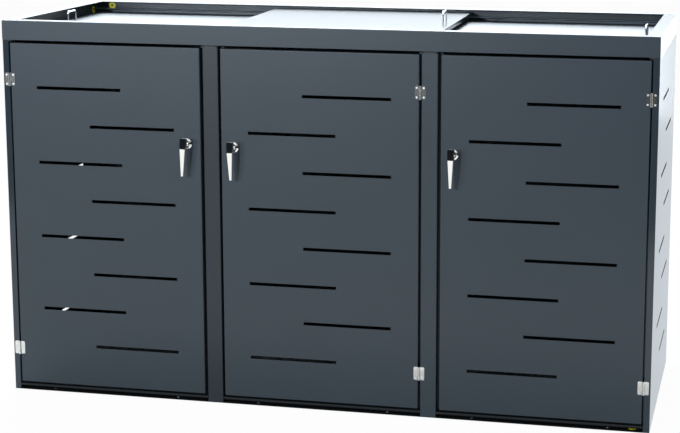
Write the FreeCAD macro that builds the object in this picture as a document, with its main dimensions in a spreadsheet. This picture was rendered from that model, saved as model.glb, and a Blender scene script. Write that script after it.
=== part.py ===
import FreeCAD, Part
import Sketcher
import math
import os
import re

# Triple bin store of folded and powder-coated sheet steel, in millimetres.
# Front faces -Y, +Z is up, the origin lies on the ground under the middle of the whole store.

os.makedirs("parts", exist_ok=True)
doc = FreeCAD.newDocument("BinStore")

# Driving sizes, each written once.
SIZES = {
    # whole store and sheet
    "width": 2070.0,
    "depth": 780.0,
    "height": 1210.0,
    "sheet": 1.5,
    "bend": 1.0,
    "play": 0.3,
    # upright edges of the front frame
    "post_face": 20.0,
    "mullion_face": 50.0,
    "mullion_below": 2.5,
    "stop_set": 24.0,
    "stop_lip": 12.0,
    "stop_foot": 22.0,
    "rear_leg": 25.0,
    "wall_flange": 25.0,
    "foot_flange": 30.0,
    "foot_flange_end": 60.0,
    "anchor_hole": 10.0,
    "anchor_inset": 110.0,
    # rim round the top
    "fascia_drop": 61.5,
    "rim_side_drop": 65.0,
    "rim_flange": 40.0,
    # roof tracks and lids
    "track_leg": 37.0,
    "track_upper_drop": 25.0,
    "track_lower_drop": 52.5,
    "track_end_gap": 1.0,
    "lid_skirt": 13.5,
    "lid_end_inset": 33.0,
    "lid_lap": 33.0,
    "lid_edge": 16.0,
    "lid_centre_shift": 7.0,
    "lid_skew": 1.9,
    "glide_wall": 1.2,
    "glide_length": 40.0,
    "glide_rise": 8.0,
    "glide_inset": 60.0,
    "wire": 6.0,
    "wire_bend": 9.0,
    "grip_span": 64.0,
    "grip_rise": 34.0,
    "grip_inset": 38.0,
    "grip_tail": 8.0,
    # sill, rear panels and base rail
    "sill_depth": 45.0,
    "sill_height": 20.0,
    "sill_lip": 7.0,
    "panel_return": 15.0,
    "rail_side": 30.0,
    "rail_wall": 2.0,
    "bracket_wall": 3.0,
    "bracket_rise": 30.0,
    "bracket_long": 40.0,
    "bracket_inset": 110.0,
    "tongue_width": 36.0,
    "tongue_drop": 60.0,
    "bolt": 6.0,
    "bolt_head": 10.0,
    "bolt_head_high": 4.0,
    "bolt_end": 5.0,
    "nut_high": 4.5,
    # doors and their slots
    "door_bottom": 26.0,
    "door_head_gap": 9.5,
    "door_gaps": 14.5,
    "door_return": 20.0,
    "door_lip": 12.0,
    "hinge_gap_left": 4.5,
    "hinge_gap_centre": 7.5,
    "hinge_gap_right": 4.5,
    "slot_length": 280.0,
    "slot_high": 10.0,
    "slot_shift": 175.0,
    "slot_pitch": 120.0,
    "slot_low": 158.6,
    "side_slot": 250.0,
    "side_slot_near": 200.0,
    "side_slot_far": 365.0,
    # hinges
    "hinge_from_bottom": 115.0,
    "hinge_from_top": 116.0,
    "hinge_half": 21.0,
    "knuckle_half": 7.0,
    "knuckle_gap": 0.15,
    "knuckle": 6.6,
    "pin": 3.0,
    "pin_fit": 0.05,
    "pin_tip": 1.2,
    "leaf_reach": 17.0,
    "leaf_wall": 1.5,
    "leaf_notch": 3.8,
    "leaf_corner": 2.5,
    "screw_set": 11.0,
    "screw_rise": 14.5,
    "screw_head": 6.0,
    "screw_head_high": 1.1,
    "screw_shank": 3.0,
    "screw_deep": 5.0,
    # latches
    "latch_inset_left": 44.5,
    "latch_inset_centre": 40.5,
    "latch_inset_right": 38.5,
    "latch_high_left": 838.0,
    "latch_high_centre": 832.0,
    "latch_high_right": 836.5,
    "lever_hang_left": 3.5,
    "lever_hang_centre": 0.0,
    "lever_hang_right": 1.0,
    "rose": 33.0,
    "rose_high": 6.0,
    "rose_bevel": 2.0,
    "rose_crown": 5.0,
    "barrel": 20.0,
    "barrel_deep": 18.0,
    "barrel_fit": 0.1,
    "spindle": 12.0,
    "hub": 16.0,
    "lever_reach": 46.0,
    "lever_crown": 43.5,
    "lever_neck": 30.0,
    "lever_lean": 8.0,
    "lever_thick": 10.0,
    "lever_thick_tip": 7.0,
    "lever_rise": 22.0,
    "lever_top": 20.0,
    "lever_tip": 10.0,
    "lever_shoulder": 11.0,
    "lever_drop": 98.0,
    "lever_facet": 4.0,
    "lever_facet_deep": 1.8,
    "lever_head_round": 5.0,
    "lever_tip_round": 3.5,
    "latch_nut": 27.0,
    "latch_nut_high": 5.0,
    "cam_set": 26.2,
    "cam_wall": 3.0,
    "cam_width": 18.0,
    "cam_reach": 50.0,
    "cam_square": 8.0,
    "cam_fit": 0.05,
}
SLOT_ROWS = 8

# Places and lengths that follow from the driving sizes.
WORKED = {
    "front": "(lever_reach - depth) / 2",
    "side": "width / 2",
    "bay": "(width - 2 * post_face - 2 * mullion_face) / 3",
    "mullion_x": "(bay + mullion_face) / 2",
    "wall_top": "height - rim_side_drop",
    "mullion_top": "wall_top - mullion_below",
    "door_width": "bay - door_gaps",
    "door_top": "height - fascia_drop - door_head_gap",
    "hinge_low": "door_bottom + hinge_from_bottom",
    "hinge_high": "door_top - hinge_from_top",
    "slot_margin": "(door_width - slot_length - slot_shift) / 2",
    "lid_width": "(width - 2 * lid_end_inset + 2 * lid_lap) / 3",
    "lid_depth": "depth - 2 * lid_edge",
    "lid_running": "play + glide_wall",
    "lid_high_top": "height - track_upper_drop + lid_running + lid_skirt",
    "lid_low_top": "height - track_lower_drop + lid_running + lid_skirt",
    "rail_y": "depth - rear_leg",
}

sheet = doc.addObject("Spreadsheet::Sheet", "Sizes")
for row, (alias, number) in enumerate(SIZES.items(), start=1):
    sheet.set(f"A{row}", alias)
    sheet.set(f"B{row}", str(number))
    sheet.setAlias(f"B{row}", alias)
doc.recompute()


def bound(formula):
    """Return a formula in plain names as one that reads the sheet."""
    def named(match):
        word = match.group(0)
        if word in SIZES:
            return "Sizes." + word
        if word in WORKED:
            return "(" + bound(WORKED[word]) + ")"
        return word
    return re.sub(r"[a-z][a-z_]*", named, str(formula))


def circle(across, up, radius):
    return ("circle", across, up, radius)


def box(low, high):
    """Corner points of a rectangle from its low and high corners."""
    return [(low[0], low[1]), (high[0], low[1]), (high[0], high[1]), (low[0], high[1])]


def hexagon(across, up, flats):
    points = []
    for corner in range(6):
        angle = math.radians(60 * corner)
        reach = 1 / math.sqrt(3)
        points.append((f"{across} + ({flats}) * {reach * math.cos(angle):.6f}",
                       f"{up} + ({flats}) * {reach * math.sin(angle):.6f}"))
    return points


class Piece:
    """One piece of the store: a body, its place, and the pads and cuts that shape it."""

    ROLES = {"plan": "XY_Plane", "front": "XZ_Plane", "side": "YZ_Plane"}

    def __init__(self, label, x="0", y="front", z="0", mirrored=False):
        self.body = doc.addObject("PartDesign::Body", label)
        self.body.Label = label
        self.sign = -1 if mirrored else 1
        for axis, formula in zip("xyz", (x, y, z)):
            self.body.setExpression(f"Placement.Base.{axis}", bound(formula))

    def lean(self, axis, degrees):
        """Turn the whole piece about an axis through its own origin."""
        self.body.Placement = FreeCAD.Placement(FreeCAD.Vector(), FreeCAD.Rotation(FreeCAD.Vector(*axis), 1))
        self.body.setExpression("Placement.Rotation.Angle", bound(degrees))

    def sketch(self, view, loops, offset):
        flat = self.body.newObject("Sketcher::SketchObject", "Outline")
        for feature in self.body.Origin.OriginFeatures:
            if feature.Role == self.ROLES[view]:
                flat.AttachmentSupport = [(feature, "")]
        flat.MapMode = "FlatFace"
        flat.setExpression("AttachmentOffset.Base.z", bound(offset))
        for loop in loops:
            self.draw(flat, view, loop)
        return flat

    def flipped(self, view, formula):
        if self.sign < 0 and view != "side":
            return f"-({formula})"
        return formula

    def draw(self, flat, view, loop):
        if loop[0] == "circle":
            centre = flat.addGeometry(Part.Circle(FreeCAD.Vector(1, 1, 0), FreeCAD.Vector(0, 0, 1), 1))
            self.locate(flat, view, centre, 3, loop[1], loop[2])
            radius = flat.addConstraint(Sketcher.Constraint("Radius", centre, 1.0))
            flat.setExpression(f"Constraints[{radius}]", bound(loop[3]))
            return
        count = len(loop)
        corners = [FreeCAD.Vector(math.cos(2 * math.pi * n / count), math.sin(2 * math.pi * n / count), 0)
                   for n in range(count)]
        first = flat.GeometryCount
        for n in range(count):
            flat.addGeometry(Part.LineSegment(corners[n], corners[(n + 1) % count]))
        for n, (across, up) in enumerate(loop):
            following = first + (n + 1) % count
            flat.addConstraint(Sketcher.Constraint("Coincident", first + n, 2, following, 1))
            self.locate(flat, view, first + n, 1, across, up)

    def locate(self, flat, view, geometry, point, across, up, now=(1.0, 1.0)):
        formulas = (self.flipped(view, across), up)
        for kind, formula, number in zip(("DistanceX", "DistanceY"), formulas, now):
            place = flat.addConstraint(Sketcher.Constraint(kind, -1, 1, geometry, point, number))
            flat.setExpression(f"Constraints[{place}]", bound(formula))

    def span(self, view, start, end):
        if self.sign < 0 and view == "side":
            return f"-({end})", f"-({start})"
        return start, end

    def pad(self, view, loops, start, end):
        """Add the loops as a solid from start to end along the view's own axis."""
        start, end = self.span(view, start, end)
        offset = f"-({end})" if view == "front" else start
        feature = self.body.newObject("PartDesign::Pad", "Pad")
        feature.Profile = self.sketch(view, loops, offset)
        feature.setExpression("Length", bound(f"({end}) - ({start})"))
        self.body.Tip = feature
        return feature

    def cut(self, view, loops, start, end):
        """Cut the loops away from start to end along the view's own axis."""
        start, end = self.span(view, start, end)
        offset = f"-({start})" if view == "front" else end
        feature = self.body.newObject("PartDesign::Pocket", "Cut")
        feature.Profile = self.sketch(view, loops, offset)
        feature.setExpression("Length", bound(f"({end}) - ({start})"))
        self.body.Tip = feature
        return feature

    def repeat_up(self, feature, count, step):
        """Repeat a cut upwards, as a row of like cuts."""
        row = self.body.newObject("PartDesign::LinearPattern", "Row")
        row.Originals = [feature]
        row.Direction = (feature.Profile[0], ["V_Axis"])
        row.Mode = "Spacing"
        row.Occurrences = count
        row.setExpression("Offset", bound(step))
        self.body.Tip = row
        return row

    def turn(self, loops):
        """Turn a half section, given as places along Y and radii, about the Y axis."""
        feature = self.body.newObject("PartDesign::Revolution", "Turned")
        flat = self.sketch("side", loops, "0")
        feature.Profile = flat
        feature.ReferenceAxis = (flat, ["H_Axis"])
        feature.Angle = 360
        self.body.Tip = feature
        return feature

    def bend(self, ways):
        """Round the folds that run along the given axes, first on the outside of the sheet."""
        for outer, radius in ((True, "bend + sheet"), (False, "bend")):
            doc.recompute()
            base = self.body.Tip
            feature = self.body.newObject("PartDesign::Fillet", "Bend")
            feature.Base = (base, folds(base.Shape, ways, outer))
            feature.setExpression("Radius", bound(radius))
            self.body.Tip = feature

    def soften(self, chosen, size, deep=None):
        """Round the edges that the chosen test picks, or bevel them when a depth is given too."""
        doc.recompute()
        base = self.body.Tip
        names = [f"Edge{n}" for n, edge in enumerate(base.Shape.Edges, start=1) if chosen(edge)]
        kind = "PartDesign::Chamfer" if deep else "PartDesign::Fillet"
        feature = self.body.newObject(kind, "Soft")
        feature.Base = (base, names)
        if deep:
            feature.ChamferType = "Two distances"
            feature.setExpression("Size", bound(size))
            feature.setExpression("Size2", bound(deep))
        else:
            feature.setExpression("Radius", bound(size))
        self.body.Tip = feature
        return feature


def folds(shape, ways, outer):
    """Names of the edges along the given axes where the sheet is folded, and not cut.

    The four corners round an edge are probed close by and a little more than a sheet away. At the
    outer edge of a fold one corner is steel, at its inner edge three are, and both legs run on.
    """
    near = SIZES["sheet"] / 5
    far = SIZES["sheet"] * 1.4
    names = []
    for number, edge in enumerate(shape.Edges, start=1):
        if edge.Curve.TypeId != "Part::GeomLine":
            continue
        run = edge.Curve.Direction
        if not any(abs(getattr(run, way)) > 0.99 for way in ways):
            continue
        across = FreeCAD.Vector(run.y, run.z, run.x)
        up = run.cross(across)

        def steel(a, b):
            return shape.isInside(edge.CenterOfMass + across * a + up * b, 1e-6, False)

        signs = [(a, b) for a in (1, -1) for b in (1, -1)]
        odd = [(a, b) for a, b in signs if steel(a * near, b * near) == outer]
        if len(odd) != 1:
            continue
        a, b = odd[0]
        if outer:
            legs = steel(a * far, b * near) and steel(a * near, b * far)
            beyond = steel(a * far, b * far)
        else:
            legs = steel(-a * near, b * far) and steel(a * far, -b * near)
            beyond = steel(-a * far, b * near) or steel(a * near, -b * far) or steel(-a * far, -b * near)
        if legs and not beyond:
            names.append(f"Edge{number}")
    return names


BOLT_X = "(wall_flange + bracket_wall + sheet) / 2"
BOLT_Y = ("bracket_inset + bracket_long / 2", "depth - bracket_inset - bracket_long / 2")
HINGES = ("hinge_low", "hinge_high")


def screw_spots(x):
    """Places of the four screws of one hinge leaf at both hinge heights."""
    return [(x, f"{middle} + {up}") for middle in HINGES for up in ("screw_rise", "-screw_rise")]


def screw_holes(piece, x):
    piece.cut("front", [circle(x, z, "screw_shank / 2 + pin_fit") for x, z in screw_spots(x)], "0", "sheet")


# Side walls: one sheet each, folded to the front post with its door stop, the rear corner,
# a top flange that carries the rim and a foot flange with anchor holes.
for hand, mirrored in (("left", False), ("right", True)):
    wall = Piece(f"side_wall_{hand}", x="side" if mirrored else "-side", mirrored=mirrored)
    wall.pad("plan", [[
        ("0", "0"),
        ("post_face", "0"),
        ("post_face", "stop_set"),
        ("post_face + stop_lip", "stop_set"),
        ("post_face + stop_lip", "stop_set + sheet"),
        ("post_face - sheet", "stop_set + sheet"),
        ("post_face - sheet", "sheet"),
        ("sheet", "sheet"),
        ("sheet", "depth - sheet"),
        ("post_face - sheet", "depth - sheet"),
        ("post_face - sheet", "depth - rear_leg"),
        ("post_face", "depth - rear_leg"),
        ("post_face", "depth"),
        ("0", "depth"),
    ]], "0", "wall_top")
    wall.cut("front", [box(("post_face", "0"), ("post_face + stop_lip", "stop_foot"))],
             "stop_set", "stop_set + sheet")
    wall.pad("plan", [box(("0", "0"), ("wall_flange", "depth - panel_return - play"))],
             "wall_top - sheet", "wall_top")
    wall.pad("plan", [box(("0", "sill_depth + play"), ("foot_flange", "depth - foot_flange_end"))],
             "0", "sheet")
    wall.cut("plan", [circle("foot_flange * 0.6", "anchor_inset", "anchor_hole / 2"),
                      circle("foot_flange * 0.6", "depth - anchor_inset", "anchor_hole / 2")],
             "0", "sheet")
    wall.cut("plan", [circle(BOLT_X, y, "bolt / 2 + pin_fit") for y in BOLT_Y], "wall_top - sheet", "wall_top")
    wall.bend("z")
    screw_holes(wall, f"post_face + hinge_gap_{hand} / 2 - screw_set")
    for near, first_row in (("side_slot_near", 1), ("side_slot_far", 0)):
        low = f"slot_low + {first_row} * slot_pitch - slot_high / 2"
        slot = wall.cut("side", [box((near, low), (f"{near} + side_slot", f"{low} + slot_high"))],
                        "0", "sheet")
        wall.repeat_up(slot, SLOT_ROWS // 2, "2 * slot_pitch")

# Mullions: hat sections between the doors, with a door stop on each edge.
for hand, place in (("left", "-mullion_x"), ("right", "mullion_x")):
    mullion = Piece(f"mullion_{hand}", x=place)
    mullion.pad("plan", [[
        ("-mullion_face / 2", "0"),
        ("mullion_face / 2", "0"),
        ("mullion_face / 2", "stop_set"),
        ("mullion_face / 2 + stop_lip", "stop_set"),
        ("mullion_face / 2 + stop_lip", "stop_set + sheet"),
        ("mullion_face / 2 - sheet", "stop_set + sheet"),
        ("mullion_face / 2 - sheet", "sheet"),
        ("sheet - mullion_face / 2", "sheet"),
        ("sheet - mullion_face / 2", "stop_set + sheet"),
        ("-mullion_face / 2 - stop_lip", "stop_set + sheet"),
        ("-mullion_face / 2 - stop_lip", "stop_set"),
        ("-mullion_face / 2", "stop_set"),
    ]], "0", "mullion_top")
    mullion.cut("front", [
        box(("mullion_face / 2", "0"), ("mullion_face / 2 + stop_lip", "stop_foot")),
        box(("-mullion_face / 2 - stop_lip", "0"), ("-mullion_face / 2", "stop_foot")),
    ], "stop_set", "stop_set + sheet")
    mullion.bend("z")
    if hand == "right":
        screw_holes(mullion, "screw_set - (mullion_face + hinge_gap_centre) / 2")

# Rear posts: plain channels that open forward, between the rear panels.
for hand, place in (("left", "-mullion_x"), ("right", "mullion_x")):
    post = Piece(f"rear_post_{hand}", x=place)
    post.pad("plan", [[
        ("-mullion_face / 2", "depth"),
        ("-mullion_face / 2", "depth - rear_leg"),
        ("sheet - mullion_face / 2", "depth - rear_leg"),
        ("sheet - mullion_face / 2", "depth - sheet"),
        ("mullion_face / 2 - sheet", "depth - sheet"),
        ("mullion_face / 2 - sheet", "depth - rear_leg"),
        ("mullion_face / 2", "depth - rear_leg"),
        ("mullion_face / 2", "depth"),
    ]], "0", "wall_top")
    post.bend("z")

# Rear panels: shallow trays whose side returns lie against the posts.
BAYS = (("left", "-bay - mullion_face"), ("centre", "0"), ("right", "bay + mullion_face"))
for name, middle in BAYS:
    panel = Piece(f"rear_wall_{name}", x=middle)
    panel.pad("front", [box(("-bay / 2", "0"), ("bay / 2", "wall_top"))], "depth - sheet", "depth")
    panel.pad("front", [box(("-bay / 2", "0"), ("bay / 2", "wall_top")),
                        box(("sheet - bay / 2", "sheet"), ("bay / 2 - sheet", "wall_top - sheet"))],
              "depth - panel_return", "depth - sheet")
    panel.bend("xz")

# Rear base rail: an angle on the ground that ties the rear posts together.
rail = Piece("base_rail_rear")
rail.pad("side", [[
    ("rail_y", "0"),
    ("rail_y", "rail_side"),
    ("rail_y - rail_wall", "rail_side"),
    ("rail_y - rail_wall", "rail_wall"),
    ("rail_y - rail_side", "rail_wall"),
    ("rail_y - rail_side", "0"),
]], "sheet - side", "side - sheet")

# Sills: one lipped channel below each door, open to the front.
for name, middle in BAYS:
    sill = Piece(f"sill_{name}", x=middle)
    sill.pad("side", [[
        ("0", "0"),
        ("sill_depth", "0"),
        ("sill_depth", "sill_height"),
        ("0", "sill_height"),
        ("0", "sill_height - sill_lip"),
        ("sheet", "sill_height - sill_lip"),
        ("sheet", "sill_height - sheet"),
        ("sill_depth - sheet", "sill_height - sheet"),
        ("sill_depth - sheet", "sheet"),
        ("0", "sheet"),
    ]], "-bay / 2", "bay / 2")
    sill.cut("plan", [circle("anchor_inset - bay / 2", "sill_depth / 2", "anchor_hole / 2"),
                      circle("bay / 2 - anchor_inset", "sill_depth / 2", "anchor_hole / 2")],
             "0", "sheet")
    sill.bend("x")

# Rim: four angles round the top; front and rear run through, the side ones butt between them.
rim = Piece("rim_front")
rim.pad("side", [[
    ("0", "height"),
    ("0", "height - fascia_drop"),
    ("sheet", "height - fascia_drop"),
    ("sheet", "height - sheet"),
    ("rim_flange", "height - sheet"),
    ("rim_flange", "height"),
]], "-side", "side")
rim.bend("x")
rim = Piece("rim_rear")
rim.pad("side", [[
    ("depth", "height"),
    ("depth", "wall_top"),
    ("depth - sheet", "wall_top"),
    ("depth - sheet", "height - sheet"),
    ("depth - rim_flange", "height - sheet"),
    ("depth - rim_flange", "height"),
]], "-side", "side")
rim.bend("x")
for hand, mirrored in (("left", False), ("right", True)):
    rim = Piece(f"rim_{hand}", x="side" if mirrored else "-side", mirrored=mirrored)
    rim.pad("plan", [box(("0", "sheet + bend"), ("sheet", "depth - sheet - bend"))],
            "wall_top", "height - sheet")
    rim.pad("plan", [[
        ("0", "rim_flange"),
        ("rim_flange", "rim_flange"),
        ("rim_flange", "depth - rim_flange"),
        ("0", "depth - rim_flange"),
    ]], "height - sheet", "height")

# Roof tracks: channels inside the front and rear rim, open inwards.
# The middle lid slides on the upper leg, the outer lids on the lower one.
for name, wall_y, way in (("front", "sheet", "1"), ("rear", "depth - sheet", "-1")):
    track = Piece(f"roof_track_{name}")
    web = f"{wall_y} + {way} * sheet"
    tip = f"{wall_y} + {way} * track_leg"
    upper = "height - track_upper_drop"
    lower = "height - track_lower_drop"
    track.pad("side", [[
        (wall_y, upper),
        (tip, upper),
        (tip, f"{upper} - sheet"),
        (web, f"{upper} - sheet"),
        (web, lower),
        (tip, lower),
        (tip, f"{lower} - sheet"),
        (wall_y, f"{lower} - sheet"),
    ]], "sheet + track_end_gap - side", "side - sheet - track_end_gap")

# Frame brackets: four angles that hold the side rims to the walls, and a tongue in the head
# of each mullion that reaches up behind the fascia to the track.
brackets = Piece("frame_brackets")
CORNERS = (("sheet - side", "bracket_wall + sheet - side", "sheet - side", "wall_flange - side"),
           ("side - bracket_wall - sheet", "side - sheet", "side - wall_flange", "side - sheet"))
for low, high, heel, toe in CORNERS:
    for start in ("bracket_inset", "depth - bracket_inset - bracket_long"):
        end = f"{start} + bracket_long"
        brackets.pad("plan", [box((low, start), (high, end))], "wall_top", "wall_top + bracket_rise")
        brackets.pad("plan", [box((heel, start), (toe, end))], "wall_top", "wall_top + bracket_wall")
TRACK_FOOT = "height - track_lower_drop - sheet"
for middle in ("-mullion_x", "mullion_x"):
    left = f"{middle} - tongue_width / 2"
    right = f"{middle} + tongue_width / 2"
    brackets.pad("front", [box((left, "mullion_top - tongue_drop"), (right, TRACK_FOOT))],
                 "sheet", "sheet + bracket_wall")
    brackets.pad("plan", [box((left, "sheet"), (right, "track_leg"))],
                 f"{TRACK_FOOT} - bracket_wall", TRACK_FOOT)

# Frame bolts: hexagon bolts through each rim bracket and the wall flange, with their nuts.
bolts = Piece("frame_bolts")
brackets_top = "wall_top + bracket_wall"
bolt_spots = [(x, y) for x in (f"{BOLT_X} - side", f"side - {BOLT_X}") for y in BOLT_Y]
brackets.cut("plan", [circle(x, y, "bolt / 2 + pin_fit") for x, y in bolt_spots],
             "wall_top", "wall_top + bracket_wall")
bolts.pad("plan", [hexagon(x, y, "bolt_head") for x, y in bolt_spots],
          brackets_top, f"{brackets_top} + bolt_head_high")
bolts.pad("plan", [circle(x, y, "bolt / 2") for x, y in bolt_spots],
          "wall_top - sheet - nut_high - bolt_end", brackets_top)
for x, y in bolt_spots:
    bolts.pad("plan", [hexagon(x, y, "bolt_head"), circle(x, y, "bolt / 2 + pin_fit")],
              "wall_top - sheet - nut_high", "wall_top - sheet")

# Doors: flush trays with a folded edge all round, and everything that hangs on each of them.
# The left door is hinged on its left edge, the others on their right edge.
leaves = Piece("hinge_leaves")
pins = Piece("hinge_pins")
frame_screws = Piece("hinge_screws")


def along_blade(edge):
    """The two long front edges of a lever's blade."""
    limits = edge.BoundBox
    long_enough = limits.ZLength > (SIZES["lever_drop"] - SIZES["lever_shoulder"]) * 0.95
    return long_enough and limits.YMin < 0.1 - SIZES["lever_reach"]


def across_head(edge):
    """The short edges at the two upper corners of a lever's head."""
    limits = edge.BoundBox
    along_depth = limits.XLength < 0.1 and limits.ZLength < 0.1
    return along_depth and limits.ZMin > SIZES["lever_rise"] - 0.1


def at_tip(edge):
    """The two short edges that run through a lever's tip."""
    limits = edge.BoundBox
    across = limits.XLength < 0.1 and limits.ZLength < 0.1
    return across and limits.ZMax < 0.1 - SIZES["lever_drop"]


def leaf(piece, axis, way, notched):
    """Plate and knuckles of one hinge leaf at both hinge heights; way points off the pin."""
    screw_x = f"{axis} + {way} * screw_set"
    edge = "knuckle_half + knuckle_gap" if notched else "knuckle_half - knuckle_gap"
    inner, outer = ("0", "leaf_notch") if notched else ("leaf_notch", "0")
    plates = []
    for middle in HINGES:
        spots = [
            ("leaf_reach", "leaf_corner - hinge_half"), ("leaf_reach", "hinge_half - leaf_corner"),
            ("leaf_reach - leaf_corner", "hinge_half"), (inner, "hinge_half"),
            (inner, edge), (outer, edge), (outer, f"-({edge})"), (inner, f"-({edge})"),
            (inner, "-hinge_half"), ("leaf_reach - leaf_corner", "-hinge_half"),
        ]
        plates.append([(f"{axis} + {way} * ({off})", f"{middle} + {up}") for off, up in spots])
    plates += [circle(x, z, "screw_shank / 2 + pin_fit") for x, z in screw_spots(screw_x)]
    piece.pad("front", plates, "-leaf_wall", "0")
    barrel = [circle(axis, "-knuckle / 2", "knuckle / 2"), circle(axis, "-knuckle / 2", "pin / 2 + pin_fit")]
    for middle in HINGES:
        if notched:
            piece.pad("plan", barrel, f"{middle} + {edge}", f"{middle} + hinge_half")
            piece.pad("plan", barrel, f"{middle} - hinge_half", f"{middle} - ({edge})")
        else:
            piece.pad("plan", barrel, f"{middle} - ({edge})", f"{middle} + {edge}")


def screws(piece, axis, way):
    """Four pan-head screws of one leaf at both hinge heights."""
    spots = screw_spots(f"{axis} + {way} * screw_set")
    piece.pad("front", [circle(x, z, "screw_head / 2") for x, z in spots],
              "-leaf_wall - screw_head_high", "-leaf_wall")
    piece.pad("front", [circle(x, z, "screw_shank / 2") for x, z in spots], "-leaf_wall", "screw_deep")


for name, middle in BAYS:
    hinged_left = name == "left"
    off = 1 if hinged_left else -1
    gap = f"hinge_gap_{name}"
    axis = f"{middle} - {off} * (bay / 2 - {gap} / 2)"
    near = f"{middle} - {off} * (bay / 2 - {gap})"
    far = f"{near} + {off} * door_width"
    low_x, high_x = (near, far) if hinged_left else (far, near)
    latch_x = f"{far} - {off} * latch_inset_{name}"
    latch = {"x": latch_x, "z": f"latch_high_{name}"}

    door = Piece(f"door_{name}")
    outline = box((low_x, "door_bottom"), (high_x, "door_top"))
    door.pad("front", [outline], "0", "sheet")
    for edge, start in (("sheet", "sheet"), ("door_lip", "door_return - sheet")):
        inside = box((f"{low_x} + {edge}", f"door_bottom + {edge}"), (f"{high_x} - {edge}", f"door_top - {edge}"))
        door.pad("front", [outline, inside], start, "door_return")
    door.bend("xz")
    for first_row, hinge_side in ((1, True), (0, False)):
        shift = "0" if hinge_side == hinged_left else "slot_shift"
        left = f"{low_x} + slot_margin + {shift}"
        low = f"slot_low + {first_row} * slot_pitch - slot_high / 2"
        slot = door.cut("front", [box((left, low), (f"{left} + slot_length", f"{low} + slot_high"))],
                        "0", "sheet")
        door.repeat_up(slot, SLOT_ROWS // 2, "2 * slot_pitch")
    door.cut("front", [circle(latch_x, f"latch_high_{name}", "barrel / 2 + barrel_fit")], "0", "sheet")
    screw_holes(door, f"{axis} + {off} * screw_set")

    leaf(leaves, axis, -off, True)
    screws(frame_screws, axis, -off)
    door_leaf = Piece(f"door_leaves_{name}")
    leaf(door_leaf, axis, off, False)
    door_screw = Piece(f"door_screws_{name}")
    screws(door_screw, axis, off)
    for middle_z in HINGES:
        pins.pad("plan", [circle(axis, "-knuckle / 2", "pin / 2")],
                 f"{middle_z} - hinge_half - pin_tip", f"{middle_z} + hinge_half")

    # Latch: a bevelled rose with a barrel through the door and a nut behind the sheet.
    rose = Piece(f"latch_rose_{name}", **latch)
    rose.turn([[
        ("-rose_high", "spindle / 2 + pin_fit"),
        ("barrel_deep", "spindle / 2 + pin_fit"),
        ("barrel_deep", "barrel / 2"),
        ("0", "barrel / 2"),
        ("0", "rose / 2"),
        ("rose_bevel - rose_high", "rose / 2"),
        ("-rose_high * 0.8", "rose / 2 - rose_bevel"),
        ("-rose_high", "rose / 2 - rose_crown"),
    ]])
    nut = Piece(f"latch_nut_{name}", **latch)
    nut.pad("front", [hexagon("0", "0", "latch_nut"), circle("0", "0", "barrel / 2 + pin_fit")],
            "sheet", "sheet + latch_nut_high")

    # Lever: a spindle with a square end, and a flat head above a tapered, faceted blade that leans
    # back to the door and ends in a round tip. It hangs a little out of plumb, each by its own angle.
    lever = Piece(f"lever_{name}", **latch)
    lever.turn([[
        ("-lever_neck - sheet", "0"),
        ("-lever_neck - sheet", "hub / 2"),
        ("-rose_high - play", "hub / 2"),
        ("-rose_high - play", "spindle / 2"),
        ("cam_set", "spindle / 2"),
        ("cam_set", "0"),
    ]])
    lever.pad("front", [box(("-cam_square / 2", "-cam_square / 2"), ("cam_square / 2", "cam_square / 2"))],
              "cam_set - sheet", "cam_set + cam_wall")
    lever.pad("side", [[
        ("-lever_neck", "lever_rise"),
        ("-lever_crown", "lever_rise"),
        ("-lever_reach", "-lever_shoulder"),
        ("lever_lean - lever_reach", "-lever_drop"),
        ("lever_lean + lever_thick_tip - lever_reach", "-lever_drop"),
        ("lever_thick - lever_reach", "-lever_shoulder - lever_thick"),
        ("-lever_neck", "-hub / 2"),
    ]], "-lever_top / 2", "lever_top / 2")
    for way in ("", "-"):
        lever.cut("front", [[(f"{way}lever_top / 2", "-lever_shoulder"), (f"{way}lever_top / 2", "-lever_drop"),
                             (f"{way}lever_tip / 2", "-lever_drop")]], "-lever_reach", "-lever_neck")
    lever.soften(along_blade, "lever_facet", "lever_facet_deep")
    lever.soften(across_head, "lever_head_round")
    lever.soften(at_tip, "lever_tip_round")

    # Cam: a flat bar on the spindle's square end, clear of the frame while it points up.
    cam = Piece(f"cam_{name}", **latch)
    cam.pad("front", [box(("-cam_width / 2", "-cam_width / 2"), ("cam_width / 2", "cam_reach"))],
            "cam_set", "cam_set + cam_wall")
    hole = "cam_square / 2 + cam_fit"
    cam.cut("front", [box((f"-({hole})", f"-({hole})"), (hole, hole))], "cam_set", "cam_set + cam_wall")
    cam_screw = Piece(f"cam_screw_{name}", **latch)
    cam_screw.pad("front", [hexagon("0", "0", "bolt_head + 2 * sheet")],
                  "cam_set + cam_wall", "cam_set + cam_wall + bolt_head_high")
    for piece in (lever, cam, cam_screw):
        piece.lean((0, 1, 0), f"lever_hang_{name}")

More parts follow.
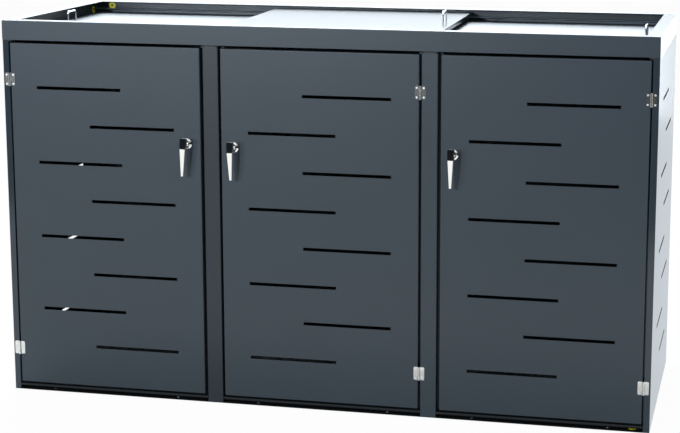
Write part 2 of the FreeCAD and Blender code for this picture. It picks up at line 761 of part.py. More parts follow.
# Roof: three like lids, pressed as trays that open downwards, each with glides under its
# front and rear skirts and a wire grip on top. The middle lid lies slightly askew in its track.
LIDS = (("left", "lid_end_inset + lid_width / 2 - side", "lid_low_top", "0", "grip_inset - lid_width / 2"),
        ("centre", "lid_centre_shift", "lid_high_top", "lid_skew", "lid_width / 2 - grip_inset"),
        ("right", "side - lid_end_inset - lid_width / 2", "lid_low_top", "0", "lid_width / 2 - grip_inset"))
for name, across, top, skew, grip_x in LIDS:
    place = {"x": across, "y": "front + depth / 2", "z": top}
    lid = Piece(f"lid_{name}", **place)
    corner = ("lid_width / 2", "lid_depth / 2")
    lid.pad("plan", [box(("-lid_width / 2", "-lid_depth / 2"), corner)], "-sheet", "0")
    lid.pad("plan", [box(("-lid_width / 2", "-lid_depth / 2"), corner),
                     box(("sheet - lid_width / 2", "sheet - lid_depth / 2"),
                         ("lid_width / 2 - sheet", "lid_depth / 2 - sheet"))],
            "-lid_skirt", "-sheet")
    lid.bend("xy")
    feet = [(grip_x, up) for up in ("-grip_span / 2", "grip_span / 2")]
    lid.cut("plan", [circle(x, y, "wire / 2 + pin_fit") for x, y in feet], "-sheet", "0")
    glides = Piece(f"glides_{name}", **place)
    for way in ("1", "-1"):
        skirt_out = f"{way} * (lid_depth / 2 + glide_wall)"
        skirt_face = f"{way} * lid_depth / 2"
        skirt_in = f"{way} * (lid_depth / 2 - sheet)"
        inside = f"{way} * (lid_depth / 2 - sheet - glide_wall)"
        clip = [
            (skirt_out, "glide_rise - lid_skirt - glide_wall"),
            (skirt_out, "-lid_skirt - glide_wall"),
            (inside, "-lid_skirt - glide_wall"),
            (inside, "glide_rise - lid_skirt - glide_wall"),
            (skirt_in, "glide_rise - lid_skirt - glide_wall"),
            (skirt_in, "-lid_skirt"),
            (skirt_face, "-lid_skirt"),
            (skirt_face, "glide_rise - lid_skirt - glide_wall"),
        ]
        for start in ("glide_inset - lid_width / 2", "lid_width / 2 - glide_inset - glide_length"):
            glides.pad("side", [clip], start, f"{start} + glide_length")

    grip = Piece(f"grip_{name}", **place)
    spine = grip.sketch("side", [], grip_x)
    half = SIZES["grip_span"] / 2
    rise = SIZES["grip_rise"]
    tail = SIZES["grip_tail"]
    bend = SIZES["wire_bend"]
    runs = (((-half, -tail, "-grip_span / 2", "-grip_tail"),
             (-half, rise - bend, "-grip_span / 2", "grip_rise - wire_bend")),
            ((-half + bend, rise, "wire_bend - grip_span / 2", "grip_rise"),
             (half - bend, rise, "grip_span / 2 - wire_bend", "grip_rise")),
            ((half, rise - bend, "grip_span / 2", "grip_rise - wire_bend"),
             (half, -tail, "grip_span / 2", "-grip_tail")))
    for number, ends in enumerate(runs):
        spine.addGeometry(Part.LineSegment(*[FreeCAD.Vector(y, z, 0) for y, z, _, _ in ends]))
        for point, (y, z, along, up) in enumerate(ends, start=1):
            grip.locate(spine, "side", number, point, along, up, (y, z))
    for number, centre, start, line in ((3, -half + bend, 90, 0), (4, half - bend, 0, 1)):
        ring = Part.Circle(FreeCAD.Vector(centre, rise - bend, 0), FreeCAD.Vector(0, 0, 1), bend)
        spine.addGeometry(Part.ArcOfCircle(ring, math.radians(start), math.radians(start + 90)))
        spine.addConstraint(Sketcher.Constraint("Coincident", number, 2, line, 2))
        spine.addConstraint(Sketcher.Constraint("Coincident", number, 1, line + 1, 1))
        size = spine.addConstraint(Sketcher.Constraint("Radius", number, bend))
        spine.setExpression(f"Constraints[{size}]", bound("wire_bend"))
    pipe = grip.body.newObject("PartDesign::AdditivePipe", "Wire")
    pipe.Profile = grip.sketch("plan", [circle(grip_x, "-grip_span / 2", "wire / 2")], "-grip_tail")
    pipe.Spine = (spine, [])
    grip.body.Tip = pipe
    grip_nuts = Piece(f"grip_nuts_{name}", **place)
    for x, y in feet:
        grip_nuts.pad("plan", [hexagon(x, y, "bolt_head"), circle(x, y, "wire / 2 + pin_fit")],
                      "-sheet - nut_high", "-sheet")

    for piece in (lid, glides, grip, grip_nuts):
        piece.lean((0, 0, 1), skew)

doc.recompute()

# Check every object and write each piece to its own file.
pieces = [item for item in doc.Objects if item.TypeId == "PartDesign::Body"]
for item in doc.Objects:
    if "Invalid" in item.State or "Error" in item.State:
        raise RuntimeError(f"{item.Name} ({item.Label}) is not right: {item.State}")
for item in pieces:
    if item.Shape.isNull() or not item.Shape.isValid():
        raise RuntimeError(f"{item.Label} has no valid solid")
for item in pieces:
    item.Shape.exportStep(f"parts/{item.Label}.step")
    print(item.Label, len(item.Shape.Solids), round(item.Shape.Volume), item.Shape.BoundBox)
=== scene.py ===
import math

import bpy
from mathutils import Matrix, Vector


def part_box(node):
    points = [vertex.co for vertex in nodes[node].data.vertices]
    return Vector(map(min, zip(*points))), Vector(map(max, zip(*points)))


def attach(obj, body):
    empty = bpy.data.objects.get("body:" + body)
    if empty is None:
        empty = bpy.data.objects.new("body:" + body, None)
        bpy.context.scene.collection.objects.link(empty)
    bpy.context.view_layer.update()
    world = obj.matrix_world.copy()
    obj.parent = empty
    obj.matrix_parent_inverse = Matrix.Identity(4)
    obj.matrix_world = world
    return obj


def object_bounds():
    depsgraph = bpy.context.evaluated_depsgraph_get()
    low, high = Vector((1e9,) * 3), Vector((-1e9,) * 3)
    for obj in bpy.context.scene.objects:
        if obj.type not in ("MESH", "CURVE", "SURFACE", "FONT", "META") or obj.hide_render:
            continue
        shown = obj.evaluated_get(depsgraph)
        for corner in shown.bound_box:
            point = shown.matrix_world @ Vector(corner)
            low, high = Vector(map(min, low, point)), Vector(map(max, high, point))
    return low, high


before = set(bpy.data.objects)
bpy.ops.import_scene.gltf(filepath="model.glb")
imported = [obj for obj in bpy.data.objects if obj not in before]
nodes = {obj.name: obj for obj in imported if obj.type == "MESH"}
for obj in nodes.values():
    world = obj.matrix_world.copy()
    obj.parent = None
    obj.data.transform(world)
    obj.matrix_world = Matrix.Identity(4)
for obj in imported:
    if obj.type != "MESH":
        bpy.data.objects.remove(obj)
cad_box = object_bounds()


# Camera: a long lens from the front right, a little above the roof, so that the right wall
# and the sunken roof show as thin slivers. The lens is shifted because the picture is cropped.
PICTURE = (680, 433)
FOCAL_PIXELS = 1726.45
OPTICAL_CENTRE = (414.47, 170.04)
CAMERA_PLACE = (1.3620, -5.4359, 1.7323)
CAMERA_TILT = (79.627, -0.248, 11.869)

camera = bpy.data.objects.new("camera", bpy.data.cameras.new("camera"))
camera.location = CAMERA_PLACE
camera.rotation_euler = [math.radians(angle) for angle in CAMERA_TILT]
camera.data.lens = camera.data.sensor_width * FOCAL_PIXELS / PICTURE[0]
camera.data.shift_x = (PICTURE[0] / 2 - OPTICAL_CENTRE[0]) / PICTURE[0]
camera.data.shift_y = (OPTICAL_CENTRE[1] - PICTURE[1] / 2) / PICTURE[0]
bpy.context.scene.collection.objects.link(camera)
bpy.context.scene.camera = camera
bpy.context.scene.view_settings.view_transform = "Standard"


# Backdrop: plain white to the camera. The store mirrors bright paper behind it and, on the
# camera's side, a room that is dark at eye level and pale overhead. Other rays meet a weak sky.
WHITE = "#ffffff"
ROOM = "#101318"
ROOM_HIGH = "#f4f8fb"
MIRRORED_PAPER = "#edf4fa"
BACKDROP_LEVEL = 1.25
SKY_LIGHT = 0.20
BACKDROP_BEGINS = -0.35
BACKDROP_FULL = 0.25
CEILING_BEGINS = 0.70
CEILING_FULL = 0.86
ROOM_DARK_BELOW = 0.08
ROOM_PALE_ABOVE = 0.45


def linear(hex_colour):
    """Linear colour of an sRGB hex value."""
    channels = [int(hex_colour[place:place + 2], 16) / 255 for place in (1, 3, 5)]
    return [c / 12.92 if c <= 0.04045 else ((c + 0.055) / 1.055) ** 2.4 for c in channels] + [1.0]


def add_node(tree, kind, inputs=None, **settings):
    """Add one shader node; an input takes a number, a colour or another node's output."""
    made = tree.nodes.new("ShaderNode" + kind)
    for name, value in settings.items():
        setattr(made, name, value)
    for name, value in (inputs or {}).items():
        if isinstance(value, bpy.types.NodeSocket):
            tree.links.new(value, made.inputs[name])
        else:
            made.inputs[name].default_value = value
    return made


world = bpy.data.worlds.new("studio")
world.use_nodes = True
bpy.context.scene.world = world
tree = world.node_tree
tree.nodes.clear()
# What the store mirrors: the backdrop where a ray goes back and not too steeply, else the room.
direction = add_node(tree, "TexCoord")
split = add_node(tree, "SeparateXYZ", {"Vector": direction.outputs["Generated"]})
behind = add_node(tree, "MapRange", {"Value": split.outputs["Y"], "From Min": BACKDROP_BEGINS,
                                     "From Max": BACKDROP_FULL})
below_ceiling = add_node(tree, "MapRange", {"Value": split.outputs["Z"], "From Min": CEILING_FULL,
                                            "From Max": CEILING_BEGINS})
backdrop = add_node(tree, "Math", {0: behind.outputs[0], 1: below_ceiling.outputs[0]},
                    operation="MULTIPLY")
rising = add_node(tree, "MapRange", {"Value": split.outputs["Z"], "From Min": ROOM_DARK_BELOW,
                                     "From Max": ROOM_PALE_ABOVE})
room = add_node(tree, "Mix", {"Factor": rising.outputs[0], "A": linear(ROOM), "B": linear(ROOM_HIGH)},
                data_type="RGBA")
bright_paper = [BACKDROP_LEVEL * channel for channel in linear(MIRRORED_PAPER)[:3]] + [1.0]
mirrored = add_node(tree, "Mix", {"Factor": backdrop.outputs[0], "A": room.outputs["Result"],
                                  "B": bright_paper}, data_type="RGBA")
# The camera sees plain white, and rays that only bring light meet the sky's glow.
path = add_node(tree, "LightPath")
colour = add_node(tree, "Mix", {"Factor": path.outputs["Is Camera Ray"], "A": mirrored.outputs["Result"],
                                "B": linear(WHITE)}, data_type="RGBA")
shown = add_node(tree, "Background", {"Color": colour.outputs["Result"], "Strength": 1.0})
glow = add_node(tree, "Background", {"Color": linear(WHITE), "Strength": SKY_LIGHT})
either = add_node(tree, "Math", {0: path.outputs["Is Camera Ray"], 1: path.outputs["Is Glossy Ray"]},
                  operation="MAXIMUM")
direct = add_node(tree, "Math", {0: either.outputs[0], 1: path.outputs["Is Transmission Ray"]},
                  operation="MAXIMUM")
both = add_node(tree, "MixShader", {0: direct.outputs[0], 1: glow.outputs[0], 2: shown.outputs[0]})
add_node(tree, "OutputWorld", {"Surface": both.outputs[0]})


# Floor: matt white paper, plain white to the camera except under the store. The store mirrors
# it lit behind itself and on a white card in front, and dark as the room beyond that card.
PAPER = "#f4f4f4"
FLOOR_REACH = 40.0
FLOOR_LIFT = 0.97
CARD_FAR = -3.1
CARD_BRIGHT = -0.95
CARD_NEAR = -0.8
CARD_NEAR_SHARE = 0.1


def within(tree, value, low, high):
    """One where a value lies between two limits."""
    above = add_node(tree, "Math", {0: value, 1: low}, operation="GREATER_THAN")
    under = add_node(tree, "Math", {0: value, 1: high}, operation="LESS_THAN")
    return add_node(tree, "Math", {0: above.outputs[0], 1: under.outputs[0]},
                    operation="MULTIPLY").outputs[0]


def new_material(name):
    """An empty node material and its tree."""
    material = bpy.data.materials.new(name)
    material.use_nodes = True
    material.node_tree.nodes.clear()
    return material, material.node_tree


(west, _, _), (east, north, _) = cad_box
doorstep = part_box("sill_left")[0][1]
paper, tree = new_material("white_paper_matt")
# The floor may shine anywhere but under the store.
spot = add_node(tree, "NewGeometry")
place = add_node(tree, "SeparateXYZ", {"Vector": spot.outputs["Position"]})
path = add_node(tree, "LightPath")
under_store = add_node(tree, "Math", {0: within(tree, place.outputs["X"], west, east),
                                      1: within(tree, place.outputs["Y"], doorstep, north)},
                       operation="MULTIPLY")
open_floor = add_node(tree, "Math", {0: 1.0, 1: under_store.outputs[0]}, operation="SUBTRACT")
# Mirrored rays find it shining on the card, which fades towards the store, behind, and far off.
fade = add_node(tree, "MapRange", {"Value": place.outputs["Y"], "From Min": CARD_NEAR,
                                   "From Max": CARD_BRIGHT, "To Min": CARD_NEAR_SHARE})
card = add_node(tree, "Math", {0: within(tree, place.outputs["Y"], CARD_FAR, CARD_NEAR), 1: fade.outputs[0]},
                operation="MULTIPLY")
behind = add_node(tree, "Math", {0: place.outputs["Y"], 1: doorstep}, operation="GREATER_THAN")
far = add_node(tree, "Math", {0: place.outputs["Y"], 1: CARD_FAR}, operation="LESS_THAN")
pale = add_node(tree, "Math", {0: card.outputs[0], 1: behind.outputs[0]}, operation="MAXIMUM")
replaced = add_node(tree, "Math", {0: pale.outputs[0], 1: far.outputs[0]}, operation="MAXIMUM")
mirrored = add_node(tree, "Math", {0: path.outputs["Is Glossy Ray"], 1: replaced.outputs[0]},
                    operation="MULTIPLY")
# The camera finds it shining everywhere, through glass too.
direct = add_node(tree, "Math", {0: path.outputs["Is Camera Ray"], 1: path.outputs["Is Transmission Ray"]},
                  operation="MAXIMUM")
seen = add_node(tree, "Math", {0: direct.outputs[0], 1: mirrored.outputs[0]}, operation="MAXIMUM")
lifted = add_node(tree, "Math", {0: open_floor.outputs[0], 1: FLOOR_LIFT}, operation="MULTIPLY")
share = add_node(tree, "Math", {0: seen.outputs[0], 1: lifted.outputs[0]}, operation="MULTIPLY")
# It is white, but mirrored rays find it tinted behind the store and dark far off.
mirrored_behind = add_node(tree, "Math", {0: behind.outputs[0], 1: path.outputs["Is Glossy Ray"]},
                           operation="MULTIPLY")
mirrored_far = add_node(tree, "Math", {0: far.outputs[0], 1: path.outputs["Is Glossy Ray"]},
                        operation="MULTIPLY")
near_tone = add_node(tree, "Mix", {"Factor": mirrored_behind.outputs[0], "A": linear(WHITE),
                                   "B": linear(MIRRORED_PAPER)}, data_type="RGBA")
tone = add_node(tree, "Mix", {"Factor": mirrored_far.outputs[0], "A": near_tone.outputs["Result"],
                              "B": linear(ROOM)}, data_type="RGBA")
matt = add_node(tree, "BsdfDiffuse", {"Color": linear(PAPER)})
lift = add_node(tree, "Emission", {"Color": tone.outputs["Result"], "Strength": 1.0})
both = add_node(tree, "MixShader", {0: share.outputs[0], 1: matt.outputs[0], 2: lift.outputs[0]})
add_node(tree, "OutputMaterial", {"Surface": both.outputs[0]})

corners = [(x * FLOOR_REACH, y * FLOOR_REACH, 0) for x, y in ((-1, -1), (1, -1), (1, 1), (-1, 1))]
floor_mesh = bpy.data.meshes.new("floor")
floor_mesh.from_pydata(corners, [], [(0, 1, 2, 3)])
floor_mesh.materials.append(paper)
floor = bpy.data.objects.new("floor", floor_mesh)
bpy.context.scene.collection.objects.link(floor)


# Softboxes: a small key light at the front left with a weaker fill beside it, a broad one at the
# upper right, and three behind that glance off the lids, the rim and the right wall.
FRONT = (0.0, -0.36, 0.8)
ROOF = (-0.5, 0.0, 1.2)
RIGHT_WALL = (1.0, 0.0, 0.6)
COOL_WHITE = "#e6f0f9"
COOLER_WHITE = "#e2eef9"


def softbox(name, place, target, size, level, colour):
    """An area light whose level is what it adds to a white face turned to it at the target."""
    lamp = bpy.data.lights.new(name, "AREA")
    lamp.shape = "RECTANGLE"
    lamp.size, lamp.size_y = size
    away = Vector(place) - Vector(target)
    lamp.energy = level * math.pi ** 2 * away.length_squared
    lamp.color = linear(colour)[:3]
    holder = bpy.data.objects.new(name, lamp)
    holder.location = place
    holder.rotation_euler = away.to_track_quat("Z", "Y").to_euler()
    holder.visible_camera = False
    bpy.context.scene.collection.objects.link(holder)


softbox("key_front_left", place=(-1.7, -6.4, 2.35), target=FRONT, size=(0.32, 0.32), level=0.425,
        colour=COOL_WHITE)
softbox("fill_left", place=(-3.3, -5.8, 1.9), target=FRONT, size=(0.9, 0.9), level=0.20,
        colour=COOLER_WHITE)
softbox("fill_upper_right", place=(2.6, -2.4, 2.6), target=FRONT, size=(1.6, 1.6), level=0.24,
        colour=COOLER_WHITE)
softbox("back_high", place=(-1.6, 6.0, 3.3), target=ROOF, size=(8.0, 2.0), level=0.55,
        colour=COOL_WHITE)
softbox("back_top", place=(-1.6, 4.2, 4.2), target=ROOF, size=(5.0, 1.4), level=1.60,
        colour=COOL_WHITE)
softbox("back_right", place=(2.6, 5.6, 0.8), target=RIGHT_WALL, size=(1.6, 1.5), level=0.22,
        colour=COOL_WHITE)


# Base: a lipped channel as a sill below each door and an angle along the rear, folded from sheet
# steel and powder coated in anthracite. The sills' coat is duller and painted nearly black:
# painted shade for the shade they lie in below the doors.
BAYS = ("left", "centre", "right")
COAT = "#2e373e"
COAT_CLOUD = "#323b42"
COAT_ROUGHNESS = 0.38
COAT_IOR = 1.5
CLOUD_MM = 260.0
CLOUD_DETAIL = 3.0
PEEL_MM = 2.2
PEEL_DEPTH = 0.0004
PEEL_SHARE = 0.05
SILL_PAINTED_SHADE = "#0f1214"
SILL_PAINTED_SHADE_CLOUD = "#121618"
SILL_ROUGHNESS = 0.6
SILL_IOR = 1.36


def grain(tree, size_mm, detail=2.0):
    """Noise whose lumps are about that many millimetres across, fixed to the piece."""
    place = add_node(tree, "TexCoord")
    return add_node(tree, "TexNoise", {"Vector": place.outputs["Object"], "Scale": 1000 / size_mm,
                                       "Detail": detail})


def powder_coat(name, plain, cloud, roughness, ior=COAT_IOR):
    """Polyester powder coat, sprayed and baked: even satin colour, faint clouds, orange peel."""
    material, tree = new_material(name)
    clouds = grain(tree, CLOUD_MM, CLOUD_DETAIL)
    colour = add_node(tree, "Mix", {"Factor": clouds.outputs["Fac"], "A": linear(plain), "B": linear(cloud)},
                      data_type="RGBA")
    peel = grain(tree, PEEL_MM)
    bump = add_node(tree, "Bump", {"Height": peel.outputs["Fac"], "Strength": PEEL_SHARE,
                                   "Distance": PEEL_DEPTH})
    satin = add_node(tree, "BsdfPrincipled", {"Base Color": colour.outputs["Result"],
                                              "Roughness": roughness, "IOR": ior,
                                              "Normal": bump.outputs["Normal"]})
    add_node(tree, "OutputMaterial", {"Surface": satin.outputs[0]})
    return material


def dress(material, *names):
    """Give CAD nodes this material in place of their plain one."""
    for name in names:
        nodes[name].data.materials.clear()
        nodes[name].data.materials.append(material)


def in_each_bay(*pieces):
    """Node names of pieces that every bay has."""
    return [f"{piece}_{bay}" for piece in pieces for bay in BAYS]


satin_coat = powder_coat("powder_coat_anthracite_satin", COAT, COAT_CLOUD, COAT_ROUGHNESS)
# Painted shade: the sills' coat is painted nearly black for the shade under the doors.
sill_painted_shade = powder_coat("powder_coat_anthracite_sill_painted_shade", SILL_PAINTED_SHADE, SILL_PAINTED_SHADE_CLOUD, SILL_ROUGHNESS, SILL_IOR)
dress(satin_coat, "base_rail_rear")
dress(sill_painted_shade, *in_each_bay("sill"))


# Walls: side walls, mullions, rear posts and rear panels, folded from 1.5 mm sheet and coated
# alike. The side walls' smoother coat mirrors the paper at a glancing view. The left mullion's
# coat is painted a shade darker: painted shade for the duller light its face catches.
WALL_ROUGHNESS = 0.12
MULLION_PAINTED_SHADE = "#1d252b"
MULLION_PAINTED_SHADE_CLOUD = "#21292f"

smooth_coat = powder_coat("powder_coat_anthracite_smooth", COAT, COAT_CLOUD, WALL_ROUGHNESS)
# Painted shade: a darker copy of the satin coat, for the left mullion only.
mullion_painted_shade = powder_coat("powder_coat_anthracite_mullion_painted_shade", MULLION_PAINTED_SHADE, MULLION_PAINTED_SHADE_CLOUD, COAT_ROUGHNESS)
dress(smooth_coat, "side_wall_left", "side_wall_right")
dress(mullion_painted_shade, "mullion_left")
dress(satin_coat, "mullion_right", "rear_post_left", "rear_post_right", *in_each_bay("rear_wall"))


# Rim and roof tracks: four angles round the top and two channels inside them that carry the
# lids, coated like the walls and held by brackets and zinc-plated hexagon bolts. The right
# rim's coat is smoother. The tracks' coat is painted paler: painted light, so that they read
# like the bright lids beside them in the rim's shade.
RIM_ROUGHNESS = 0.19
TRACK_PAINTED_LIGHT = "#59646d"
TRACK_PAINTED_LIGHT_CLOUD = "#5e6972"
PLATE_PATCH_MM = 4.0
SCREW_PLATE = "#eef0f0"
SCREW_POLISHED = 0.34
SCREW_DULL = 0.46


def zinc_plate(name, colour, polished, dull):
    """Bright zinc plate on steel: pale grey, blurred reflections, a little uneven."""
    material, tree = new_material(name)
    patches = grain(tree, PLATE_PATCH_MM)
    shine = add_node(tree, "MapRange", {"Value": patches.outputs["Fac"], "To Min": polished,
                                        "To Max": dull})
    plate = add_node(tree, "BsdfPrincipled", {"Base Color": linear(colour), "Metallic": 1.0,
                                              "Roughness": shine.outputs[0]})
    add_node(tree, "OutputMaterial", {"Surface": plate.outputs[0]})
    return material


even_coat = powder_coat("powder_coat_anthracite_even", COAT, COAT_CLOUD, RIM_ROUGHNESS)
# Painted light: a paler copy of the coat, so the tracks look lit like the lids.
track_painted_light = powder_coat("powder_coat_anthracite_track_painted_light", TRACK_PAINTED_LIGHT, TRACK_PAINTED_LIGHT_CLOUD, COAT_ROUGHNESS)
screw_zinc = zinc_plate("zinc_plate_screws", SCREW_PLATE, SCREW_POLISHED, SCREW_DULL)
dress(satin_coat, "rim_front", "rim_rear", "rim_left", "frame_brackets")
dress(even_coat, "rim_right")
dress(track_painted_light, "roof_track_front", "roof_track_rear")
dress(screw_zinc, "frame_bolts")


# Rim joint: a black bead closes the open joint between the rim and the tops of the posts and
# mullions, shaped like sealant smoothed hollow. Its black is painted shade for the dark line of
# shade that lies in that joint.
JOINT_SHADE_BLACK = "#090c0f"
JOINT_SHADE_ROUGHNESS = 0.6
JOINT_SHADE_IOR = 1.5
DRAG_MM = 3.0
DRAG_DEPTH = 0.0003
DRAG_SHARE = 0.3
DOOR_STOP = 0.012
BEAD_INSET = 0.0005
BEAD_SET_BACK = 0.0001
BEAD_DEPTH = 0.0012
BEAD_HOLLOW = 0.0005
BEAD_TAPER = 0.0015
BEAD_END_SHARE = 0.7
BEAD_STEPS = 8
# Decimals of a metre to which the ends of the beads are rounded.
TENTHS_OF_MM = 4


# Painted shade: the bead is black to stand for the shade in the rim joint.
def joint_shade_black():
    """Painted shade for the rim joint as a black, dull bead, a little uneven as if smoothed by hand."""
    material, tree = new_material("joint_bead_painted_shade")
    drag = grain(tree, DRAG_MM)
    bump = add_node(tree, "Bump", {"Height": drag.outputs["Fac"], "Strength": DRAG_SHARE,
                                   "Distance": DRAG_DEPTH})
    rubber = add_node(tree, "BsdfPrincipled", {"Base Color": linear(JOINT_SHADE_BLACK), "Roughness": JOINT_SHADE_ROUGHNESS,
                                               "IOR": JOINT_SHADE_IOR, "Normal": bump.outputs["Normal"]})
    add_node(tree, "OutputMaterial", {"Surface": rubber.outputs[0]})
    return material


joint_shade = joint_shade_black()
bead_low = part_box("side_wall_right")[1][2]
bead_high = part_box("rim_front")[0][2]
bead_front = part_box("rim_front")[0][1] + BEAD_SET_BACK
bead_back = bead_front + BEAD_DEPTH


def shade_bead(name, below, inset):
    """A black bead of painted shade over the piece below it, with a flat back, a hollow front and thinned
    ends.
    """
    start = round(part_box(below)[0][0] + inset, TENTHS_OF_MM)
    end = round(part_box(below)[1][0] - inset, TENTHS_OF_MM)
    middle = (bead_low + bead_high) / 2
    profile = [(bead_back, bead_low), (bead_back, bead_high)]
    for step in range(BEAD_STEPS + 1):
        share = step / BEAD_STEPS
        hollow = BEAD_HOLLOW * math.sin(math.pi * share)
        profile.append((bead_front + hollow, bead_high + (bead_low - bead_high) * share))
    rings = [(start, BEAD_END_SHARE), (start + BEAD_TAPER, 1.0), (end - BEAD_TAPER, 1.0),
             (end, BEAD_END_SHARE)]
    corners = []
    for x, fullness in rings:
        corners += [(x, bead_back + (y - bead_back) * fullness, middle + (z - middle) * fullness)
                    for y, z in profile]
    count = len(profile)
    faces = []
    for ring in range(len(rings) - 1):
        for corner in range(count):
            here = ring * count + corner
            there = ring * count + (corner + 1) % count
            faces.append((here, there, there + count, here + count))
    faces.append(list(reversed(range(count))))
    faces.append(list(range(len(corners) - count, len(corners))))
    mesh = bpy.data.meshes.new(name)
    mesh.from_pydata(corners, [], faces)
    mesh.materials.append(joint_shade)
    bead = bpy.data.objects.new(name, mesh)
    bpy.context.scene.collection.objects.link(bead)
    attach(bead, "root")


shade_bead("joint_shade_bead_left", "side_wall_left", BEAD_INSET)
shade_bead("joint_shade_bead_mullion_left", "mullion_left", DOOR_STOP + BEAD_INSET)
shade_bead("joint_shade_bead_mullion_right", "mullion_right", DOOR_STOP + BEAD_INSET)
shade_bead("joint_shade_bead_right", "side_wall_right", BEAD_INSET)


# Doors: flush trays folded from 1.5 mm sheet with eight punched slots each, coated like the
# walls. Two hinges carry each door, and a turning lever latch holds it shut.
dress(satin_coat, *in_each_bay("door"))


# Hinges: steel leaves, stamped and rolled round a pin, held by pan-head screws. All of it is
# bright zinc plated. The screws are duller than the leaves, so they catch more of the key light.
LEAF_PLATE = "#ebeae4"
LEAF_POLISHED = 0.17
LEAF_DULL = 0.22

leaf_zinc = zinc_plate("zinc_plate_stamped", LEAF_PLATE, LEAF_POLISHED, LEAF_DULL)
dress(leaf_zinc, "hinge_leaves", *in_each_bay("door_leaves"))
dress(screw_zinc, "hinge_pins", "hinge_screws", *in_each_bay("door_screws"))


# Latches: levers and roses cast in zinc, polished and chrome plated. Behind the door a
# zinc-plated nut holds the rose, and a stamped cam is screwed to the lever's spindle.
CHROME = "#f6f6f3"
CHROME_BRIGHT = 0.03
CHROME_HAZY = 0.06
HAZE_MM = 6.0


def chrome_plate():
    """Polished chrome plate: near mirror, a hint of haze."""
    material, tree = new_material("chrome_plate_polished")
    haze = grain(tree, HAZE_MM)
    shine = add_node(tree, "MapRange", {"Value": haze.outputs["Fac"], "To Min": CHROME_BRIGHT,
                                        "To Max": CHROME_HAZY})
    plate = add_node(tree, "BsdfPrincipled", {"Base Color": linear(CHROME), "Metallic": 1.0,
                                              "Roughness": shine.outputs[0]})
    add_node(tree, "OutputMaterial", {"Surface": plate.outputs[0]})
    return material


chrome = chrome_plate()
dress(chrome, *in_each_bay("lever", "latch_rose"))
dress(screw_zinc, *in_each_bay("latch_nut", "cam_screw"))
dress(leaf_zinc, *in_each_bay("cam"))


# Roof lids: trays that open downwards, coated like the doors, the middle one smoother. Each has
# a bent wire grip, chrome plated and held by two nuts, and rides on black polyamide glides,
# which are moulded and clipped to its skirts.
POLYAMIDE = "#17181a"
POLYAMIDE_ROUGHNESS = 0.55
POLYAMIDE_IOR = 1.53
SPARK_MM = 0.8
SPARK_DEPTH = 0.0002
SPARK_SHARE = 0.2


def black_polyamide():
    """Moulded polyamide: matt black, with its fine spark-eroded grain drawn coarser so that it shows."""
    material, tree = new_material("polyamide_black_moulded")
    texture = grain(tree, SPARK_MM)
    bump = add_node(tree, "Bump", {"Height": texture.outputs["Fac"], "Strength": SPARK_SHARE,
                                   "Distance": SPARK_DEPTH})
    plastic = add_node(tree, "BsdfPrincipled", {"Base Color": linear(POLYAMIDE),
                                                "Roughness": POLYAMIDE_ROUGHNESS, "IOR": POLYAMIDE_IOR,
                                                "Normal": bump.outputs["Normal"]})
    add_node(tree, "OutputMaterial", {"Surface": plastic.outputs[0]})
    return material


dress(satin_coat, "lid_left", "lid_right")
dress(even_coat, "lid_centre")
dress(black_polyamide(), *in_each_bay("glides"))
dress(chrome, *in_each_bay("grip"))
dress(screw_zinc, *in_each_bay("grip_nuts"))


# Marker plugs: small yellow polyethylene discs with a sunken middle, moulded and pressed flat
# on the sheet: two in the rim's rear left corner and one on the floor of the right sill. The
# middle is painted a dark olive: painted shade of the yellow in its hollow.
PLUG_YELLOW = "#f4e436"
PLUG_HOLLOW_SHADE = "#6e6a16"
YELLOW_ROUGHNESS = 0.45
HOLLOW_SHADE_ROUGHNESS = 0.55
POLYETHYLENE_IOR = 1.51
FLOW_MM = 5.0
FLOW_UNEVEN = 0.08
PLUG_RADIUS = 0.0123
PLUG_CROWN_RADIUS = 0.93 * PLUG_RADIUS
PLUG_HIGH = 0.0010
PLUG_SIDE_HIGH = 0.6 * PLUG_HIGH
PLUG_HOLLOW_RADIUS = 0.0042
PLUG_HOLLOW_EDGE = 1.15 * PLUG_HOLLOW_RADIUS
PLUG_HOLLOW_HIGH = 0.5 * PLUG_HIGH
PLUG_SIDES = 40
SHEET = 0.0015
REAR_PLUG_IN = 0.062
REAR_PLUG_DOWN = 0.0168
LEFT_PLUG_IN = 0.029
LEFT_PLUG_DOWN = 0.0315
SILL_PLUG_IN = 0.034
SILL_PLUG_BACK = 0.030


def moulded_plastic(name, colour, roughness):
    """Moulded polyethylene: soft shine, a little uneven where the plastic flowed."""
    material, tree = new_material(name)
    flow = grain(tree, FLOW_MM)
    shine = add_node(tree, "MapRange", {"Value": flow.outputs["Fac"], "To Min": roughness - FLOW_UNEVEN,
                                        "To Max": roughness + FLOW_UNEVEN})
    plastic = add_node(tree, "BsdfPrincipled", {"Base Color": linear(colour), "Roughness": shine.outputs[0],
                                                "IOR": POLYETHYLENE_IOR})
    add_node(tree, "OutputMaterial", {"Surface": plastic.outputs[0]})
    return material


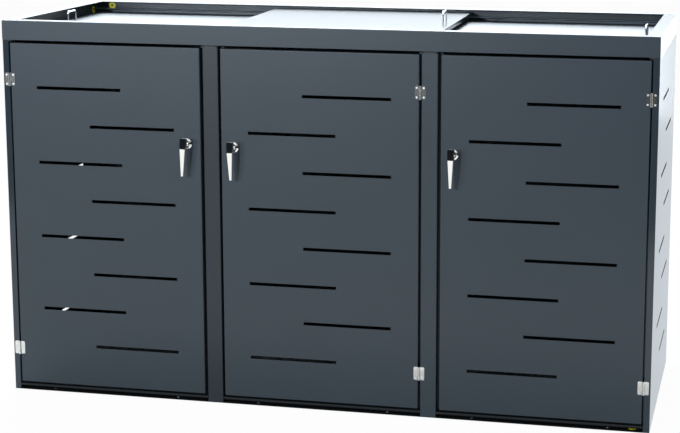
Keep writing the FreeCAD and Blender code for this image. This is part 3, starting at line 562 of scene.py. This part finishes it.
yellow = moulded_plastic("polyethylene_yellow_moulded", PLUG_YELLOW, YELLOW_ROUGHNESS)
# Painted shade: the plug's yellow darkened to olive for its sunken middle.
hollow_shade = moulded_plastic("polyethylene_yellow_hollow_painted_shade", PLUG_HOLLOW_SHADE, HOLLOW_SHADE_ROUGHNESS)


def marker_plug(name, place, normal):
    """Turned profile round the plug's axis: flat back, rounded rim, sunken middle."""
    profile = [(PLUG_RADIUS, 0.0), (PLUG_RADIUS, PLUG_SIDE_HIGH), (PLUG_CROWN_RADIUS, PLUG_HIGH),
               (PLUG_HOLLOW_EDGE, PLUG_HIGH), (PLUG_HOLLOW_RADIUS, PLUG_HOLLOW_HIGH)]
    corners = []
    for step in range(PLUG_SIDES):
        turn = 2 * math.pi * step / PLUG_SIDES
        corners += [(radius * math.cos(turn), radius * math.sin(turn), high) for radius, high in profile]
    count = len(profile)
    faces = []
    for step in range(PLUG_SIDES):
        here = step * count
        there = (step + 1) % PLUG_SIDES * count
        faces += [(here + ring, there + ring, there + ring + 1, here + ring + 1)
                  for ring in range(count - 1)]
    middle = len(faces)
    faces.append([step * count + count - 1 for step in range(PLUG_SIDES)])
    faces.append([step * count for step in reversed(range(PLUG_SIDES))])
    mesh = bpy.data.meshes.new(name)
    mesh.from_pydata(corners, [], faces)
    mesh.materials.append(yellow)
    mesh.materials.append(hollow_shade)
    mesh.polygons[middle].material_index = 1
    plug = bpy.data.objects.new(name, mesh)
    plug.rotation_euler = Vector(normal).to_track_quat("Z", "Y").to_euler()
    plug.location = place
    bpy.context.scene.collection.objects.link(plug)
    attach(plug, "root")


rim_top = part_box("rim_rear")[1][2]
sill_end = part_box("sill_right")[1][0]
rear_spot = (west + REAR_PLUG_IN, north - SHEET, rim_top - REAR_PLUG_DOWN)
left_spot = (west + SHEET, north - LEFT_PLUG_IN, rim_top - LEFT_PLUG_DOWN)
sill_spot = (sill_end - SILL_PLUG_IN, doorstep + SILL_PLUG_BACK, SHEET)
marker_plug("marker_plug_rear", rear_spot, normal=(0, -1, 0))
marker_plug("marker_plug_left", left_spot, normal=(1, 0, 0))
marker_plug("marker_plug_sill", sill_spot, normal=(0, 0, 1))
